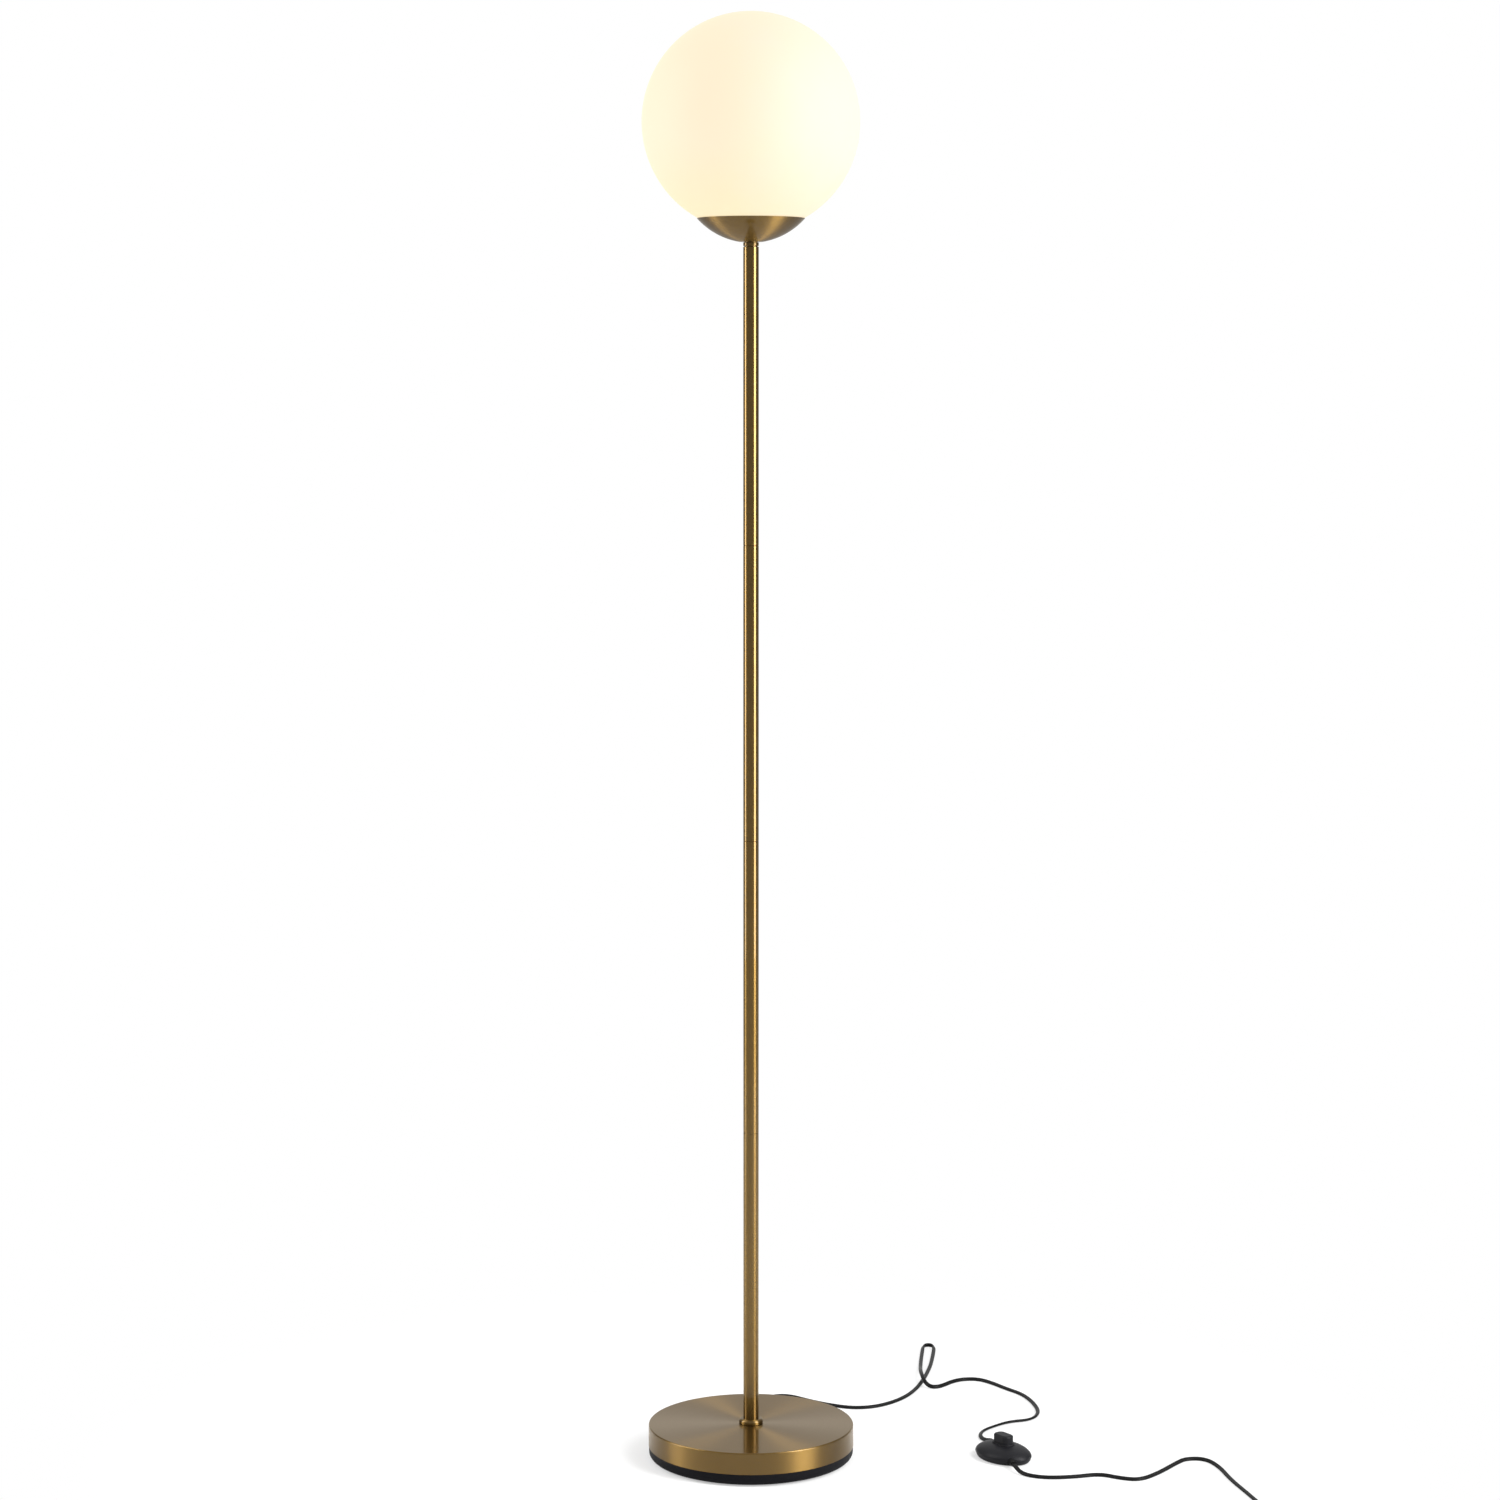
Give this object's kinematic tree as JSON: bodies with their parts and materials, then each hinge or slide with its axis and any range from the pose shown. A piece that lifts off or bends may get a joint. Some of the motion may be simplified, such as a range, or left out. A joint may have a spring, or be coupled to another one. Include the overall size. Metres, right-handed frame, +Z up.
{
  "type": "globe floor lamp",
  "caption": "Floor lamp with a round weighted base, a slim straight pole, a shallow cup holding an opal glass globe, and a flat cord with a foot switch and a plug.",
  "frame": {"origin": "middle of the round base, on the floor", "axes": "+Z up the pole; +Y to the side where the cord leaves the base, so -Y is the side seen first"},
  "size_m": [0.7004, 0.7629, 1.6778],
  "materials": {
    "brass": "brushed, lacquered antique brass finish on steel",
    "black_plastic": "fine moulded texture, slight sheen",
    "pan_black": "satin black moulding",
    "cord_black": "smooth flat twin flex, soft sheen",
    "foam_black": "closed-cell foam",
    "cast_iron": "sand-cast, unpainted",
    "zinc_steel": "bright zinc plate",
    "spring_steel": "bright spring steel",
    "opal_glass": "glossy opal white glass, lit from inside",
    "holder_white": "heat-proof thermoset",
    "silicone": "milky silicone",
    "bulb_body": "white moulding over an aluminium heat sink",
    "bulb_opal": "opal diffuser",
    "nickel": "nickel plate",
    "contact_brass": "bare spring brass",
    "led_board": "white solder mask on aluminium"
  },
  "bodies": {
    "stand": {"floor_pad": "foam_black", "base_pan": "pan_black", "base_weight": "cast_iron", "base_cover": "brass", "base_collar": "brass", "base_washer": "zinc_steel", "base_nut": "zinc_steel", "base_stud": "zinc_steel", "pan_screws": "zinc_steel", "cord_bushing": "cord_black", "cord_clamp": "black_plastic", "pole_section_1": "brass", "pole_section_2": "brass", "pole_section_3": "brass", "pole_section_4": "brass", "coupling_stud_1": "zinc_steel", "coupling_stud_2": "zinc_steel", "coupling_stud_3": "zinc_steel", "section_bushes": "zinc_steel", "top_reducer": "zinc_steel", "top_nipple": "zinc_steel", "neck_ring": "brass", "cup": "brass", "gallery": "spring_steel", "gallery_nut": "zinc_steel", "seat_gasket": "silicone", "holder_cap": "holder_white", "holder_block": "holder_white", "holder_sleeve": "holder_white", "screw_shell": "contact_brass", "centre_contact": "contact_brass", "switch_pad": "foam_black", "switch_base": "black_plastic", "switch_top": "black_plastic", "contact_block": "holder_white", "button_spring": "spring_steel", "switch_screws": "zinc_steel", "switch_inlet": "cord_black", "switch_outlet": "cord_black", "cord_to_switch": "cord_black", "cord_to_coil": "cord_black", "cord_coil": "cord_black", "inner_lead": "cord_black", "plug_relief": "cord_black", "plug_body": "black_plastic", "plug_pins": "nickel"},
    "switch_button": {"switch_button": "black_plastic"},
    "globe": {"globe_shade": "opal_glass"},
    "bulb": {"bulb_pip": "nickel", "bulb_insulator": "black_plastic", "bulb_cap": "nickel", "bulb_housing": "bulb_body", "bulb_led_plate": "led_board", "bulb_dome": "bulb_opal"}
  },
  "joints": [
    {"name": "switch_press", "type": "slide", "parent": "stand", "child": "switch_button", "axis": [0, 0, -1], "range_m": [0, 0.003], "stiffness_N_per_m": 1200, "springref_m": -0.002, "deforming": ["button_spring"]},
    {"name": "globe_lift", "type": "slide", "parent": "stand", "child": "globe", "axis": [0, 0, 1], "range_m": [0, 0.15]},
    {"name": "bulb_unscrew", "type": "slide", "parent": "stand", "child": "bulb", "axis": [0, 0, 1], "range_m": [0, 0.03]}
  ]
}
